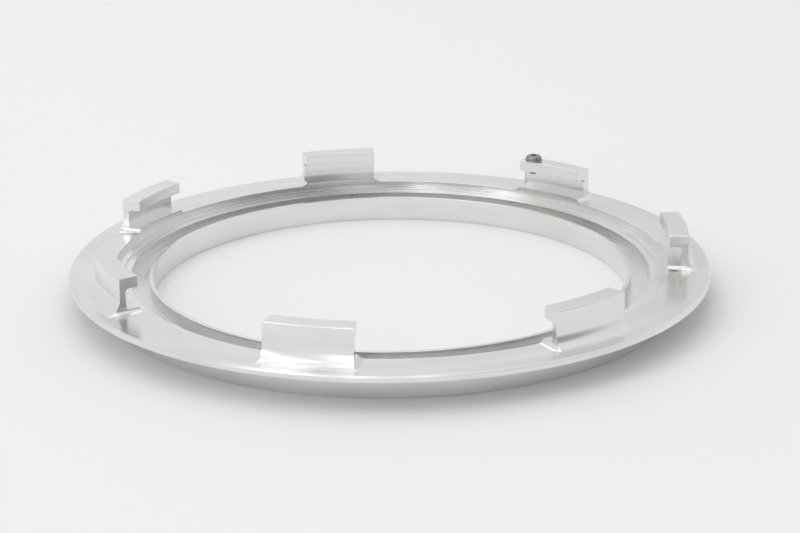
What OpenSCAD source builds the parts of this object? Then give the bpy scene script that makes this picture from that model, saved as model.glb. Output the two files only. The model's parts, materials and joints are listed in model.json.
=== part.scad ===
// Twist-lock mounting ring: one machined ring with hook lugs, and one small locking screw.
// Origin: centre of the ring, on its bottom face. +Z points up, out of the face that has the lugs.
// +X points at the middle of lug 1; the lugs are numbered anticlockwise, seen from above.

/* [Ring body] */
// Diameter of the through bore
bore_d = 150; // [120:1:160]
// Wall of the thin inner rim between the bore and the seal groove
rim_wall = 1.2; // [1:0.1:3]
// Height of the inner rim and of the seat beside the groove
seat_z = 8.1; // [6:0.1:8.6]
// Width of the seal groove
groove_w = 5.8; // [3:0.1:5.8]
// Height of the seal groove's floor above the bottom face
groove_floor_z = 4; // [2:0.1:5]
// Diameter where the seat steps up to the ledge
seat_d = 169; // [167:0.5:172]
// Height of the ledge
ledge_z = 8.7; // [8.7:0.1:9.5]
// Diameter of the flange's inner edge, where the ledge ends
flange_inner_d = 175; // [174:0.5:176]
// Diameter of the spigot below the flange
spigot_d = 181.6; // [180:0.1:186]
// Chamfer round the foot of the spigot
spigot_chamfer = 0.5; // [0.2:0.1:1]

/* [Flange] */
// Outside diameter of the flange
flange_d = 201.6; // [200.8:0.1:210]
// Height of the flange's top face above the bottom face
flange_z = 10.6; // [10.2:0.1:12]
// Thickness of the flange outside the spigot
flange_t = 1.9; // [1.5:0.1:3]
// Chamfer on the flange's outer top edge
flange_chamfer = 0.5; // [0.2:0.1:1]

/* [Lugs] */
// Angle that one lug spans
lug_angle = 16.06; // [10:0.1:20]
// Radius of the lugs' outer face
lug_outer_r = 93.6; // [93:0.1:94]
// Height of the lugs' tops above the bottom face
lug_top_z = 21.6; // [20:0.1:26]
// Thickness of the upright web
web_t = 2; // [1.8:0.1:2.6]
// Thickness of the lip that hooks inwards
lip_t = 3.7; // [3:0.1:4.5]
// Height of the raised land under the lip
pad_h = 1.2; // [0.6:0.1:2]
// Radius of the concave sweep at the outer foot of a lug
foot_cove_r = 4.5; // [4:0.1:6]
// Radius of the concave sweep at the two ends of a lug
end_cove_r = 2; // [1:0.1:5.8]
// Chamfer along the lugs' long top edges
lug_chamfer = 0.4; // [0.2:0.1:0.6]

/* [Locking screw] */
// Diameter of the screw's thread
screw_d = 3; // [2.5:0.5:4]
// Length of the shank under the head
screw_length = 5; // [4.5:0.5:6]
// Diameter of the screw's head
head_d = 5.7; // [5:0.1:7]
// Height of the screw's head
head_h = 1.65; // [1.2:0.05:2.5]
// Size across the flats of the hexagon socket
socket_af = 2; // [1.5:0.1:2.5]
// Depth of the hexagon socket
socket_depth = 1.05; // [0.6:0.05:1.2]
// Diameter of the washer held under the head
washer_d = 6; // [5.8:0.1:7]
// Thickness of the washer
washer_t = 0.5; // [0.3:0.1:0.8]
// Radius from the ring's axis to the screw's axis
screw_pitch_r = 89.4; // [89:0.1:89.8]
// Angle of the screw from the middle of its lug
screw_offset_angle = 5.03; // [3:0.1:5.1]

/* [Hidden] */

LUGS = 7;
SCREW_LUG = 2;
lug_pitch = 360 / LUGS;

groove_inner_r = bore_d / 2 + rim_wall;
groove_outer_r = groove_inner_r + groove_w;
lug_inner_r = flange_inner_d / 2;
flange_r = flange_d / 2;
flange_bottom_z = flange_z - flange_t;
neck_z = flange_bottom_z - 0.5;
spigot_r = spigot_d / 2;
web_inner_r = lug_outer_r - web_t;
lip_z = lug_top_z - lip_t;
pad_z = flange_z + pad_h;

// The concave sweeps end in an edge this thick, so that they never feather out to nothing
foot_t = 0.05;
foot_r = lug_outer_r + foot_cove_r;
foot_cove_steps = 8;
end_cove_steps = 6;
end_sweep_angle = 2 * atan(end_cove_r / lug_inner_r);

screw_play = 0.05;
washer_play = 0.1;
seat_gap = 0.02;
head_rim_h = 0.35;
head_flat_r = 1.45;
tip_chamfer = 0.4;
washer_z = lug_top_z + seat_gap;
head_z = washer_z + washer_t + seat_gap;
screw_angle = (SCREW_LUG - 1) * lug_pitch + screw_offset_angle;

turned_fn = 180;
fine_fn = 64;
eps = 0.5;

// A turned part of the ring, from its half cross-section
module turned_ring() {
    color("gainsboro")
    rotate_extrude($fn = turned_fn)
    children();
}

// Thin wall between the bore and the seal groove
module inner_rim() {
    turned_ring()
    polygon([
        [bore_d / 2, 0],
        [groove_inner_r, 0],
        [groove_inner_r, seat_z],
        [bore_d / 2, seat_z]
    ]);
}

// Bottom of the seal groove
module groove_floor() {
    turned_ring()
    polygon([
        [groove_inner_r, 0],
        [groove_outer_r, 0],
        [groove_outer_r, groove_floor_z],
        [groove_inner_r, groove_floor_z]
    ]);
}

// Spigot below the flange, with the seat and the ledge on its top
module spigot() {
    turned_ring()
    polygon([
        [groove_outer_r, 0],
        [spigot_r - spigot_chamfer, 0],
        [spigot_r, spigot_chamfer],
        [spigot_r, neck_z],
        [lug_inner_r, neck_z],
        [lug_inner_r, ledge_z],
        [seat_d / 2, ledge_z],
        [seat_d / 2, seat_z],
        [groove_outer_r, seat_z]
    ]);
}

// Flat flange that carries the lugs and stands out beyond the spigot, with a short neck on the spigot
module flange() {
    turned_ring()
    polygon([
        [lug_inner_r, neck_z],
        [spigot_r, neck_z],
        [spigot_r, flange_bottom_z],
        [flange_r, flange_bottom_z],
        [flange_r, flange_z - flange_chamfer],
        [flange_r - flange_chamfer, flange_z],
        [lug_inner_r, flange_z]
    ]);
}

// Points of a concave quarter round that starts upright and runs out flat
function sweep_points(x, z, r, steps) =
    [for (k = [0 : steps]) let (t = 180 + 90 * k / steps) [x + r + r * cos(t), z + r + r * sin(t)]];

// Cross-section of a lug: land, web, lip with chamfered top edges, and the sweep at the outer foot
module lug_section() {
    polygon(concat(
        [
            [lug_inner_r, flange_z],
            [lug_inner_r, pad_z],
            [web_inner_r, pad_z],
            [web_inner_r, lip_z],
            [lug_inner_r, lip_z],
            [lug_inner_r, lug_top_z - lug_chamfer],
            [lug_inner_r + lug_chamfer, lug_top_z],
            [lug_outer_r - lug_chamfer, lug_top_z],
            [lug_outer_r, lug_top_z - lug_chamfer]
        ],
        sweep_points(lug_outer_r, flange_z + foot_t, foot_cove_r, foot_cove_steps),
        [[foot_r, flange_z]]
    ));
}

// Turns a section through an angle, centred on +X
module turned_segment(angle) {
    rotate([0, 0, -angle / 2])
    rotate_extrude(angle = angle, $fn = turned_fn)
    children();
}

// What is left standing at one end of a lug: a bar along the radius with a concave side; side is 1 or -1
module end_sweep(side) {
    rotate([0, 0, side * lug_angle / 2])
    mirror([0, side < 0 ? 1 : 0, 0])
    translate([lug_inner_r - eps, 0, 0])
    rotate([90, 0, 90])
    linear_extrude(foot_r - lug_inner_r + 2 * eps)
    polygon(concat(
        [[-eps, flange_z - eps], [-eps, flange_z + foot_t + end_cove_r]],
        sweep_points(0, flange_z + foot_t, end_cove_r, end_cove_steps),
        [[end_cove_r, flange_z - eps]]
    ));
}

// One hook lug, centred on +X: its section turned past both ends, then cut to the shape of its ends
module lug() {
    intersection() {
        turned_segment(lug_angle + 2 * end_sweep_angle) lug_section();
        union() {
            turned_segment(lug_angle)
            translate([lug_inner_r - 2 * eps, flange_z - eps])
            square([foot_r - lug_inner_r + 4 * eps, lug_top_z - flange_z + 2 * eps]);
            end_sweep(1);
            end_sweep(-1);
        }
    }
}

// A lug in its place; the second one carries the threaded hole of the locking screw
module placed_lug(i) {
    color("silver")
    rotate([0, 0, (i - 1) * lug_pitch])
    difference() {
        lug();
        if (i == SCREW_LUG)
            rotate([0, 0, screw_offset_angle])
            translate([screw_pitch_r, 0, lip_z - eps])
            cylinder(d = screw_d + 2 * screw_play, h = lip_t + 2 * eps, $fn = fine_fn);
    }
}

// Moves its children from the origin to the screw's axis
module at_screw(z) {
    rotate([0, 0, screw_angle])
    translate([screw_pitch_r, 0, z])
    children();
}

// Locking screw: button head with a hexagon socket, and the shank with a chamfered tip
module lock_screw() {
    head_r = head_d / 2;
    shank_r = screw_d / 2;
    dome_h = head_h - head_rim_h;
    dome_steps = 8;
    dome = [for (k = [0 : dome_steps])
        let (a = 90 * k / dome_steps)
        [head_flat_r + (head_r - head_flat_r) * cos(a), head_rim_h + dome_h * sin(a)]];
    color("dimgray")
    at_screw(head_z)
    difference() {
        rotate_extrude($fn = fine_fn)
        polygon(concat(
            [[0, -screw_length], [shank_r - tip_chamfer, -screw_length],
             [shank_r, tip_chamfer - screw_length], [shank_r, 0], [head_r, 0]],
            dome,
            [[0, head_h]]
        ));
        translate([0, 0, head_h - socket_depth])
        cylinder(d = socket_af / cos(30), h = head_h, $fn = 6);
    }
}

// Flat washer held under the screw's head
module screw_washer() {
    color("gray")
    at_screw(washer_z)
    difference() {
        cylinder(d = washer_d, h = washer_t, $fn = fine_fn);
        translate([0, 0, -eps])
        cylinder(d = screw_d + 2 * washer_play, h = washer_t + 2 * eps, $fn = fine_fn);
    }
}

inner_rim();
groove_floor();
spigot();
flange();
placed_lug(1);  // lug_1
placed_lug(2);  // lug_2
placed_lug(3);  // lug_3
placed_lug(4);  // lug_4
placed_lug(5);  // lug_5
placed_lug(6);  // lug_6
placed_lug(7);  // lug_7
lock_screw();
screw_washer();
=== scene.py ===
import bmesh
import bpy
from math import asin, atan2, cos, pi, radians, sin, sqrt, tan
from mathutils import Matrix, Vector
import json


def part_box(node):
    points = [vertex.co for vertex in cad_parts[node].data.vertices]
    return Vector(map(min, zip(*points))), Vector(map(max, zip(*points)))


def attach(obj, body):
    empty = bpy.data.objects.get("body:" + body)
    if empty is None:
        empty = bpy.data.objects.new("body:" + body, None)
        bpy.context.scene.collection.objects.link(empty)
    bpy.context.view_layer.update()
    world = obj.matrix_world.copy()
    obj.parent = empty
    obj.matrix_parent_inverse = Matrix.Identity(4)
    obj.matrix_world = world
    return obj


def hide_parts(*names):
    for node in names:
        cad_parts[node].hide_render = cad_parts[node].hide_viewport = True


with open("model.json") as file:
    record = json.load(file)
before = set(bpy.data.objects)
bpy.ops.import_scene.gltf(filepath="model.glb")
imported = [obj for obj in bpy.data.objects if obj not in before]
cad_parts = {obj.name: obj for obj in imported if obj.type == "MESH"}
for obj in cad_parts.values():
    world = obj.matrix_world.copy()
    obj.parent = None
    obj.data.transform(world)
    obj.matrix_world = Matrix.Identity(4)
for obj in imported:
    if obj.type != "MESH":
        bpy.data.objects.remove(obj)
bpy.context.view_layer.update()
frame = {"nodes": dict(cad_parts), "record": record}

MM = 0.001
TAU = 2 * pi

# ---------------------------------------------------------------- sizes, from the frame

mounts = {m["name"]: m for m in frame["record"]["mounts"]}
low = {name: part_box(name)[0] for name in frame["nodes"]}
high = {name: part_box(name)[1] for name in frame["nodes"]}

bore_r = mounts["bore"]["dims"]["r_mm"] * MM
rim_r, rim_z = high["inner_rim"].x, high["inner_rim"].z
groove_r, groove_z = high["groove_floor"].x, high["groove_floor"].z
spigot_r, ledge_z = high["spigot"].x, high["spigot"].z
flange_r, flange_z = high["flange"].x, high["flange"].z
lug_top_z = high["lug_1"].z

# Sizes of the CAD part that no box gives
flange_t = 1.9 * MM
seat_r = 84.5 * MM
flange_inner_r = 87.5 * MM
flange_chamfer = 0.5 * MM
spigot_chamfer = 0.5 * MM
lug_half_angle = radians(16.06 / 2)
lug_outer_r = 93.6 * MM
web_inner_r = 91.6 * MM
lip_z = lug_top_z - 3.7 * MM
pad_z = flange_z + 1.2 * MM
foot_cove_r = 4.5 * MM
end_cove_r = 2.0 * MM
LUGS = 7
SCREW_LUG = 2

# The screw stands upright, so the middle of its box is its axis
screw_x, screw_y, _ = (low["lock_screw"] + high["lock_screw"]) / 2
head_r = (high["lock_screw"].x - low["lock_screw"].x) / 2
tip_z, head_top_z = low["lock_screw"].z, high["lock_screw"].z
head_z = head_top_z - 1.65 * MM
shank_r = 1.5 * MM
hole_r = 1.55 * MM

# ---------------------------------------------------------------- node helpers


class Shader:
    """A material's node tree, with short calls for the nodes that the finishes share."""

    def __init__(self, name):
        self.material = bpy.data.materials.new(name)
        self.material.use_nodes = True
        self.tree = self.material.node_tree
        self.surface = self.tree.nodes["Principled BSDF"]

    def node(self, kind, **settings):
        made = self.tree.nodes.new(kind)
        for key, value in settings.items():
            setattr(made, key, value)
        return made

    def put(self, value, socket):
        """Links another node's output to a socket, or sets a plain value on it."""
        if isinstance(value, bpy.types.NodeSocket):
            self.tree.links.new(value, socket)
        else:
            socket.default_value = value

    def math(self, operation, a, b=0.0):
        made = self.node("ShaderNodeMath", operation=operation)
        self.put(a, made.inputs[0])
        self.put(b, made.inputs[1])
        return made.outputs[0]

    def combine(self, x, y, z):
        made = self.node("ShaderNodeCombineXYZ")
        for value, socket in zip((x, y, z), made.inputs):
            self.put(value, socket)
        return made.outputs[0]

    def noise(self, vector, scale, detail=2.0, roughness=0.5):
        made = self.node("ShaderNodeTexNoise")
        self.put(vector, made.inputs["Vector"])
        self.put(scale, made.inputs["Scale"])
        self.put(detail, made.inputs["Detail"])
        self.put(roughness, made.inputs["Roughness"])
        return made.outputs[0]

    def remap(self, value, low_out, high_out, low_in=0.3, high_in=0.7):
        made = self.node("ShaderNodeMapRange")
        for socket, v in zip(made.inputs, (value, low_in, high_in, low_out, high_out)):
            self.put(v, socket)
        return made.outputs[0]

    def ramp_colour(self, factor, a, b):
        made = self.node("ShaderNodeValToRGB")
        self.put(factor, made.inputs[0])
        made.color_ramp.elements[0].color = (*a, 1.0)
        made.color_ramp.elements[1].color = (*b, 1.0)
        return made.outputs[0]

    def bump(self, height, strength, distance, normal=None):
        made = self.node("ShaderNodeBump")
        made.inputs["Strength"].default_value = strength
        made.inputs["Distance"].default_value = distance
        self.put(height, made.inputs["Height"])
        if normal is not None:
            self.put(normal, made.inputs["Normal"])
        return made.outputs["Normal"]

    def axis_coordinates(self, centre=(0.0, 0.0)):
        """Position as distance from an upright axis, angle round it, and height."""
        place = self.node("ShaderNodeTexCoord").outputs["Object"]
        split = self.node("ShaderNodeSeparateXYZ")
        self.put(place, split.inputs[0])
        x = self.math("SUBTRACT", split.outputs["X"], centre[0])
        y = self.math("SUBTRACT", split.outputs["Y"], centre[1])
        squares = self.math("ADD", self.math("MULTIPLY", x, x), self.math("MULTIPLY", y, y))
        return self.math("SQRT", squares), self.math("ARCTAN2", y, x), split.outputs["Z"]


# ---------------------------------------------------------------- materials

ALUMINIUM_DULL = (0.78, 0.78, 0.765)
ALUMINIUM_BRIGHT = (0.86, 0.86, 0.85)


def turned_aluminium():
    """Satin aluminium with the fine rings that a lathe tool leaves."""
    s = Shader("turned_aluminium")
    radius, angle, height = s.axis_coordinates()
    rings = s.combine(radius, s.math("MULTIPLY", angle, 0.0004), height)
    patches = s.combine(radius, s.math("MULTIPLY", angle, 0.02), height)
    fine = s.noise(rings, 5200, roughness=0.6)
    broad = s.noise(rings, 620, detail=3.0)
    smear = s.noise(patches, 160, detail=3.0)
    colour = s.ramp_colour(s.remap(smear, 0.0, 1.0), ALUMINIUM_DULL, ALUMINIUM_BRIGHT)
    s.put(colour, s.surface.inputs["Base Color"])
    s.surface.inputs["Metallic"].default_value = 1.0
    # Between the inner rim and the flange a coarser feed left rougher and more open rings
    past_rim = s.remap(radius, 0.0, 1.0, rim_r - 0.1 * MM, rim_r + 0.1 * MM)
    short_of_flange = s.remap(radius, 1.0, 0.15, flange_inner_r - 0.1 * MM, flange_inner_r + 0.1 * MM)
    inside = s.math("MULTIPLY", past_rim, short_of_flange)
    feed = s.math("MULTIPLY", s.noise(rings, 2400, detail=1.0), inside)
    shine = s.math("ADD", s.remap(broad, 0.18, 0.27), s.remap(smear, -0.02, 0.02))
    s.put(s.math("ADD", shine, s.math("MULTIPLY", inside, 0.05)), s.surface.inputs["Roughness"])
    marks = s.bump(feed, 0.8, 0.07 * MM)
    ripples = s.bump(broad, 0.45, 0.03 * MM, marks)
    s.put(s.bump(fine, 0.5, 0.006 * MM, ripples), s.surface.inputs["Normal"])
    return s.material


def milled_aluminium():
    """The same metal where an end mill ran along the radius: the lugs' ends and their sweeps."""
    s = Shader("milled_aluminium")
    radius, angle, height = s.axis_coordinates()
    along = s.combine(s.math("MULTIPLY", radius, 0.06), s.math("MULTIPLY", angle, 0.09), height)
    cloud = s.noise(s.combine(radius, s.math("MULTIPLY", angle, 0.09), height), 240, detail=3.0)
    lines = s.noise(along, 2600, roughness=0.6)
    colour = s.ramp_colour(s.remap(cloud, 0.0, 1.0), ALUMINIUM_DULL, ALUMINIUM_BRIGHT)
    s.put(colour, s.surface.inputs["Base Color"])
    s.surface.inputs["Metallic"].default_value = 1.0
    s.put(s.remap(lines, 0.16, 0.26), s.surface.inputs["Roughness"])
    s.put(s.bump(lines, 0.4, 0.01 * MM), s.surface.inputs["Normal"])
    return s.material


def screw_steel(name, dull, bright, roughness):
    """Dark steel, turned about the screw's own axis."""
    s = Shader(name)
    radius, angle, height = s.axis_coordinates((screw_x, screw_y))
    marks = s.noise(s.combine(radius, s.math("MULTIPLY", angle, 0.0003), height), 9000)
    stain = s.noise(s.combine(radius, s.math("MULTIPLY", angle, 0.002), height), 900, detail=3.0)
    s.put(s.ramp_colour(s.remap(stain, 0.0, 1.0), dull, bright), s.surface.inputs["Base Color"])
    s.surface.inputs["Metallic"].default_value = 1.0
    s.put(s.remap(marks, roughness - 0.05, roughness + 0.07), s.surface.inputs["Roughness"])
    s.put(s.bump(marks, 0.4, 0.004 * MM), s.surface.inputs["Normal"])
    return s.material


def plain_floor():
    """Matt pale studio floor."""
    s = Shader("studio_floor")
    s.surface.inputs["Base Color"].default_value = (0.91, 0.91, 0.905, 1.0)
    s.surface.inputs["Roughness"].default_value = 0.9
    s.surface.inputs["Specular IOR Level"].default_value = 0.1
    return s.material


turned = turned_aluminium()
milled = milled_aluminium()

# ---------------------------------------------------------------- mesh helpers

SUPPORT = 0.3
MERGE_DISTANCE = 0.0005 * MM


def eased(corners, steps=4):
    """A closed outline with its corners (x, y, radius) rounded.

    Each round has a support point close beside it on both sides, so that the shading stays flat up to it."""
    points = []
    for k, (x, y, r) in enumerate(corners):
        if r <= 0:
            points.append((x, y))
            continue
        corner = Vector((x, y))
        to_last = (Vector(corners[k - 1][:2]) - corner).normalized()
        to_next = (Vector(corners[(k + 1) % len(corners)][:2]) - corner).normalized()
        half = to_last.angle(to_next) / 2
        reach = r / tan(half)
        centre = corner + (to_last + to_next).normalized() * (r / sin(half))
        start = corner + to_last * reach - centre
        turn = start.angle_signed(corner + to_next * reach - centre)
        points.append((corner + to_last * (reach + SUPPORT * r))[:])
        for i in range(steps + 1):
            points.append((centre + Matrix.Rotation(-turn * i / steps, 2) @ start)[:])
        points.append((corner + to_next * (reach + SUPPORT * r))[:])
    return points


def join_loops(bm, a, b, material=0, special=()):
    """Faces between two closed loops of vertices; the faces at the special places take the material."""
    count = len(a)
    for k in range(count):
        face = bm.faces.new((a[k], a[(k + 1) % count], b[(k + 1) % count], b[k]))
        if k in special:
            face.material_index = material


def finish_mesh(name, bm, materials, crease=27):
    """Turns a bmesh into an object with smooth faces, split only along its real edges."""
    bmesh.ops.remove_doubles(bm, verts=bm.verts, dist=MERGE_DISTANCE)
    bmesh.ops.dissolve_degenerate(bm, edges=bm.edges, dist=MERGE_DISTANCE)
    bmesh.ops.recalc_face_normals(bm, faces=bm.faces)
    for face in bm.faces:
        face.smooth = len(face.verts) <= 4
    for edge in bm.edges:
        edge.smooth = len(edge.link_faces) == 2 and edge.calc_face_angle() < radians(crease)
    mesh = bpy.data.meshes.new(name)
    bm.to_mesh(mesh)
    bm.free()
    for material in materials:
        mesh.materials.append(material)
    made = bpy.data.objects.new(name, mesh)
    bpy.context.scene.collection.objects.link(made)
    return made


def revolve(name, outline, steps, materials, centre=(0.0, 0.0)):
    """A closed outline of (radius, height) turned right round an upright axis."""
    x, y = centre
    bm = bmesh.new()
    loops = []
    for j in range(steps):
        t = TAU * j / steps
        loops.append([bm.verts.new((x + r * cos(t), y + r * sin(t), z)) for r, z in outline])
    for j in range(steps):
        join_loops(bm, loops[j - 1], loops[j])
    return finish_mesh(name, bm, materials)


def cut_away(target, cutter):
    """Takes one closed mesh away from another."""
    cut = target.modifiers.new("cut", "BOOLEAN")
    cut.object = cutter
    cut.solver = "EXACT"
    shape = target.evaluated_get(bpy.context.evaluated_depsgraph_get())
    finished = bpy.data.meshes.new_from_object(shape)
    target.modifiers.clear()
    target.data = finished
    bpy.data.objects.remove(cutter)


def stands_for(piece, body, material_slot, *nodes):
    """The piece moves with a body and stands for these CAD nodes."""
    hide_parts(*nodes)
    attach(piece, body)


# ---------------------------------------------------------------- the ring


def ring_outline():
    """Half cross-section of the ring, with every machined edge slightly eased."""
    corners = [
        (bore_r, 0.0, 0.25), (spigot_r - spigot_chamfer, 0.0, 0.10), (spigot_r, spigot_chamfer, 0.10),
        (spigot_r, flange_z - flange_t, 0.30), (flange_r, flange_z - flange_t, 0.15),
        (flange_r, flange_z - flange_chamfer, 0.12), (flange_r - flange_chamfer, flange_z, 0.12),
        (flange_inner_r, flange_z, 0.12), (flange_inner_r, ledge_z, 0.08),
        (seat_r, ledge_z, 0.10), (seat_r, rim_z, 0.06), (groove_r, rim_z, 0.12),
        (groove_r, groove_z, 0.25), (rim_r, groove_z, 0.25), (rim_r, rim_z, 0.12), (bore_r, rim_z, 0.12),
    ]
    return eased([(r, z, e * MM) for r, z, e in corners])


RING_STEPS = 720
ring = revolve("ring_body", ring_outline(), RING_STEPS, [turned])
stands_for(ring, "ring", "machined_aluminium", "inner_rim", "groove_floor", "spigot", "flange")

# ---------------------------------------------------------------- the lugs

# Place of the milled finish in a lug's list of materials; the turned finish comes first
MILLED = 1
SWEEP_STEPS = 40
COVE_STEPS = 14
UPPER_STEPS = 6
END_STEPS = 8
lug_base_z = flange_z - 0.15 * MM
foot_top_z = flange_z + foot_cove_r
end_top_z = flange_z + end_cove_r
lip_r = flange_inner_r - 0.01 * MM
end_break = 0.22 * MM
SMALL_STEPS = 96


def end_sweep(turn):
    """How far the sweep below an end face stands out, and its height, at a turn from upright to level."""
    return end_cove_r * (1 - cos(turn)), end_cove_r * (1 - sin(turn))


def foot_reach(height):
    """How far the outer sweep stands out from the lug at a height above the flange."""
    return foot_cove_r * (1 - cos(asin(1 - height / foot_cove_r)))


def foot_inner(top):
    """Inner side of a foot up to a height: the land, then the web's inner face."""
    land = min(pad_z, top)
    return [(lip_r, lug_base_z), (lip_r, land), (web_inner_r, land), (web_inner_r, top)]


def foot_upper():
    """The part of the outer sweep that is above the sweeps at the ends."""
    heights = [foot_cove_r + (end_cove_r - foot_cove_r) * k / UPPER_STEPS for k in range(UPPER_STEPS)]
    return [(lug_outer_r + foot_reach(h), flange_z + h) for h in heights]


def foot_outer(turn=0.0):
    """Outer side of a foot down to the flange, where the sweep below the end face has reached a turn.

    Past the end plane the outer sweep runs round the lug's upright corner."""
    depth, _ = end_sweep(turn)
    points = []
    for k in range(COVE_STEPS + 1):
        widest, height = end_sweep(turn + (pi / 2 - turn) * k / COVE_STEPS)
        share = sqrt(max(0.0, 1 - (depth / widest) ** 2)) if depth > 0 else 1.0
        points.append((lug_outer_r + share * foot_reach(height), flange_z + height))
    return points + [(points[-1][0], lug_base_z)]


def hook(shrink=0.0):
    """Upper part of a lug's section, from the web's inner face round the lip to the outer face."""
    s = shrink
    corners = [
        (web_inner_r, end_top_z, 0.0),
        (web_inner_r + s, lip_z + s, 1.0 * MM), (lip_r + s, lip_z + s, 0.10 * MM),
        (lip_r + s, lug_top_z - s, 0.25 * MM), (lug_outer_r - s, lug_top_z - s, 0.25 * MM),
        (lug_outer_r, foot_top_z, 0.0),
    ]
    return eased(corners)[1:-1]


def foot_loop(bm, side, turn):
    """Outline of a foot past the lug's end plane, where the sweep below the end face has reached a turn."""
    depth, height = end_sweep(turn)
    swing = Matrix.Rotation(side * lug_half_angle, 3, "Z")
    inner = [(sqrt(r * r - depth * depth), z) for r, z in foot_inner(flange_z + height)]
    return [bm.verts.new(swing @ Vector((x, side * depth, z))) for x, z in inner + foot_outer(turn)]


def lug_mesh(bm):
    """One lug centred on +X: its section swept through its angle, the end faces, and the sweeps below."""
    inner, outer = foot_inner(end_top_z), foot_upper() + foot_outer()
    first, last = len(inner) - 1, len(inner) + len(hook()) + UPPER_STEPS

    def section(angle, shrink=0.0):
        return [bm.verts.new((r * cos(angle), r * sin(angle), z)) for r, z in inner + hook(shrink) + outer]

    reach = lug_half_angle - end_break / lug_outer_r
    loops = [section(-lug_half_angle, end_break)]
    loops += [section(reach * (2 * k / SWEEP_STEPS - 1)) for k in range(SWEEP_STEPS + 1)]
    loops += [section(lug_half_angle, end_break)]
    for a, b in zip(loops, loops[1:]):
        join_loops(bm, a, b)
    land_turn = asin(1 - (pad_z - flange_z) / end_cove_r)
    turns = [land_turn * k / END_STEPS for k in range(1, END_STEPS + 1)]
    turns += [land_turn + (pi / 2 - land_turn) * k / END_STEPS for k in range(1, END_STEPS + 1)]
    for side, end in ((-1, loops[0]), (1, loops[-1])):
        bm.faces.new(end[first:last + 1]).material_index = MILLED
        previous = end[:first + 1] + end[last:]
        for turn in turns:
            foot = foot_loop(bm, side, turn)
            join_loops(bm, previous, foot, MILLED, range(first + 1))
            previous = foot
        bm.faces.new(previous)


for number in range(1, LUGS + 1):
    bm = bmesh.new()
    lug_mesh(bm)
    bmesh.ops.rotate(bm, verts=bm.verts, matrix=Matrix.Rotation(TAU * (number - 1) / LUGS, 3, "Z"))
    lug = finish_mesh(f"hook_lug_{number}", bm, [turned, milled])
    if number == SCREW_LUG:
        hole = [(0.0, lip_z - MM), (hole_r, lip_z - MM), (hole_r, lug_top_z + MM), (0.0, lug_top_z + MM)]
        cut_away(lug, revolve("drill", hole, SMALL_STEPS, [], (screw_x, screw_y)))
    stands_for(lug, "ring", "machined_aluminium", f"lug_{number}")

# ---------------------------------------------------------------- the locking screw and its washer

THREAD_PITCH = 0.5 * MM
THREAD_DEPTH = 0.3 * MM
THREAD_RINGS = 100
TURN_POINTS = 72
tip_chamfer = 0.4 * MM
head_rim_z = head_z + 0.35 * MM
head_flat_r = head_r - 1.4 * MM
DOME_STEPS = 8
socket_flat_r = 1.0 * MM
socket_depth = 1.05 * MM
socket_break = 0.12 * MM
drill_point = 0.35 * MM


def thread_radius(z, angle):
    """Radius of the thread, which climbs one pitch in a turn and has flat crests and roots."""
    phase = (z / THREAD_PITCH - angle / TAU) % 1.0
    dip = min(1.0, max(0.0, 1.3 * abs(2 * phase - 1) - 0.15))
    run_out = min(1.0, (head_z - z) / THREAD_PITCH)
    return min(shank_r - THREAD_DEPTH * dip * run_out, shank_r - tip_chamfer + (z - tip_z))


def screw_shape():
    """The screw as one closed mesh: tip, thread, and the button head over it."""
    bm = bmesh.new()
    head = eased([(0.0, head_z, 0), (head_r, head_z, 0.1 * MM), (head_r, head_rim_z, 0)])[1:]
    dome_w, dome_h = head_r - head_flat_r, head_top_z - head_rim_z
    for k in range(1, DOME_STEPS + 1):
        t = pi / 2 * k / DOME_STEPS
        head.append((head_flat_r + dome_w * cos(t), head_rim_z + dome_h * sin(t)))
    heights = [tip_z + (head_z - tip_z) * k / THREAD_RINGS for k in range(THREAD_RINGS + 1)]
    rings = []
    for z in heights:
        rings.append([(thread_radius(z, TAU * j / TURN_POINTS), z) for j in range(TURN_POINTS)])
    rings += [[point] * TURN_POINTS for point in head]
    loops = []
    for ring_points in rings:
        loop = []
        for j, (r, z) in enumerate(ring_points):
            t = TAU * j / TURN_POINTS
            loop.append(bm.verts.new((screw_x + r * cos(t), screw_y + r * sin(t), z)))
        loops.append(loop)
    for a, b in zip(loops, loops[1:]):
        join_loops(bm, a, b)
    bm.faces.new(loops[0])
    bm.faces.new(loops[-1])
    return bm


def hexagon_key():
    """What is cut out for the hexagon socket: a six-sided prism with a drill point below it.

    One of its corners points straight away from the ring's axis."""
    bm = bmesh.new()
    loops = []
    turns = [atan2(screw_y, screw_x) + TAU * j / 6 for j in range(6)]
    mouth_z, break_z, floor_z = head_top_z + 0.01 * MM, head_top_z - socket_break, head_top_z - socket_depth
    for scale, z in ((1.12, mouth_z), (1.0, break_z), (1.0, floor_z)):
        r = scale * socket_flat_r / cos(pi / 6)
        loops.append([bm.verts.new((screw_x + r * cos(t), screw_y + r * sin(t), z)) for t in turns])
    for a, b in zip(loops, loops[1:]):
        join_loops(bm, a, b)
    bm.faces.new(loops[0])
    point = bm.verts.new((screw_x, screw_y, floor_z - drill_point))
    for j in range(6):
        bm.faces.new((loops[-1][j - 1], loops[-1][j], point))
    return bm


dark_steel = screw_steel("screw_steel", (0.24, 0.24, 0.25), (0.36, 0.36, 0.37), 0.34)
screw = finish_mesh("button_head_screw", screw_shape(), [dark_steel])
cut_away(screw, finish_mesh("key", hexagon_key(), []))
stands_for(screw, "screw", "screw_steel", "lock_screw")

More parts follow.
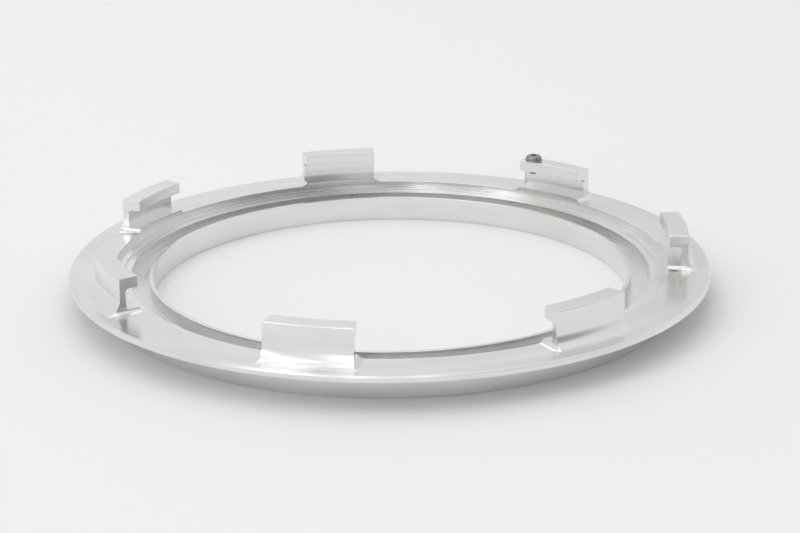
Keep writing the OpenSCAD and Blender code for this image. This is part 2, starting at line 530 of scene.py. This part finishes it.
washer_r = (high["screw_washer"].x - low["screw_washer"].x) / 2
washer_hole_r = 1.6 * MM
washer_low, washer_high = low["screw_washer"].z, high["screw_washer"].z
washer_outline = eased([
    (washer_hole_r, washer_low, 0.05 * MM), (washer_r, washer_low, 0.10 * MM),
    (washer_r, washer_high, 0.10 * MM), (washer_hole_r, washer_high, 0.05 * MM),
])
plain_steel = screw_steel("washer_steel", (0.42, 0.42, 0.43), (0.56, 0.56, 0.57), 0.32)
washer = revolve("plain_washer", washer_outline, SMALL_STEPS, [plain_steel], (screw_x, screw_y))
stands_for(washer, "washer", "washer_steel", "screw_washer")

# ---------------------------------------------------------------- floor, light and camera

FLOOR_REACH = 6.0


def floor_sheet():
    """A plain floor, far wider than the camera sees."""
    bm = bmesh.new()
    sides = (-FLOOR_REACH, FLOOR_REACH)
    rows = [[bm.verts.new((x, y, 0.0)) for x in sides] for y in sides]
    bm.faces.new((rows[0][0], rows[0][1], rows[1][1], rows[1][0]))
    return finish_mesh("studio_floor", bm, [plain_floor()])


floor_sheet()


def softbox(name, place, size, radiance, aim=None):
    """A rectangular light, straight down unless it has an aim; radiance is how bright its face is."""
    light = bpy.data.lights.new(name, "AREA")
    light.shape = "RECTANGLE"
    light.size, light.size_y = size
    light.energy = radiance * pi * size[0] * size[1]
    lamp = bpy.data.objects.new(name, light)
    lamp.location = place
    target = Vector(aim) if aim else Vector((place[0], place[1], 0.0))
    lamp.rotation_euler = (target - Vector(place)).to_track_quat("-Z", "Y").to_euler()
    bpy.context.scene.collection.objects.link(lamp)


def white_tent(level, *dim_parts):
    """Even white light from all round, with some dimmer parts.

    A dimmer part is (its middle's direction, cosine at its rim, cosine at its core, share of light left)."""
    world = bpy.data.worlds.new("studio")
    world.use_nodes = True
    tree = world.node_tree
    background = tree.nodes["Background"]
    background.inputs["Color"].default_value = (1.0, 1.0, 1.0, 1.0)
    place = tree.nodes.new("ShaderNodeTexCoord")
    strength = tree.nodes.new("ShaderNodeValue")
    strength.outputs[0].default_value = level
    for middle, rim, core, share in dim_parts:
        facing = tree.nodes.new("ShaderNodeVectorMath")
        facing.operation = "DOT_PRODUCT"
        facing.inputs[1].default_value = Vector(middle).normalized()
        dimming = tree.nodes.new("ShaderNodeMapRange")
        dimming.interpolation_type = "SMOOTHSTEP"
        for socket, value in zip(dimming.inputs[1:5], (rim, core, 1.0, share)):
            socket.default_value = value
        product = tree.nodes.new("ShaderNodeMath")
        product.operation = "MULTIPLY"
        tree.links.new(place.outputs["Generated"], facing.inputs[0])
        tree.links.new(facing.outputs["Value"], dimming.inputs[0])
        tree.links.new(dimming.outputs[0], product.inputs[0])
        tree.links.new(strength.outputs[0], product.inputs[1])
        strength = product
    tree.links.new(strength.outputs[0], background.inputs["Strength"])
    bpy.context.scene.world = world


# The dimmer parts are at the front right, where the camera stands, and behind to the right
front_right = ((0.77, -0.64, 0.25), 0.78, 0.94, 0.40)
behind_camera = ((-0.03, -1.0, 0.34), 0.975, 0.993, 0.30)
back_right = ((0.30, 0.90, 0.31), 0.93, 0.985, 0.88)
white_tent(0.82, front_right, behind_camera, back_right)

# Long strips overhead and two tall panels in front, which whiten the concave sweeps that face them
STRIP_RADIANCE = 1.9
PANEL_RADIANCE = 1.8
RING_MIDDLE = (0.0, 0.0, 0.0)
softbox("left_strip", (-0.42, 0.45, 1.0), (0.08, 1.9), STRIP_RADIANCE)
softbox("middle_strip", (-0.13, 0.45, 1.0), (0.05, 1.9), STRIP_RADIANCE)
softbox("right_strip", (0.14, 0.45, 1.0), (0.05, 1.9), STRIP_RADIANCE)
softbox("side_panel", (-1.26, -0.97, 1.15), (0.30, 1.7), PANEL_RADIANCE, RING_MIDDLE)
softbox("front_panel", (-0.38, -1.53, 1.15), (0.24, 1.7), PANEL_RADIANCE, RING_MIDDLE)
bpy.context.scene.view_settings.view_transform = "Standard"

# The camera stands in front of the ring, a little more than five radii away, and looks down at it
CAMERA_DISTANCE = 565.8 * MM
CAMERA_HEIGHT = 199.3 * MM
CAMERA_AZIMUTH = 1.31
CAMERA_PAN = 0.315
CAMERA_PITCH = 18.72
CAMERA_ROLL = -0.49
camera = bpy.data.objects.new("camera", bpy.data.cameras.new("camera"))
camera.data.sensor_width = 36.0
camera.data.lens = 84.36
camera.data.clip_start = 0.01
around = Matrix.Rotation(radians(CAMERA_AZIMUTH), 4, "Z")
aim = (Matrix.Rotation(radians(-CAMERA_PAN), 4, "Z") @ Matrix.Rotation(radians(90 - CAMERA_PITCH), 4, "X")
       @ Matrix.Rotation(radians(CAMERA_ROLL), 4, "Z"))
camera.matrix_world = around @ Matrix.Translation((0.0, -CAMERA_DISTANCE, CAMERA_HEIGHT)) @ aim
bpy.context.scene.collection.objects.link(camera)
bpy.context.scene.camera = camera
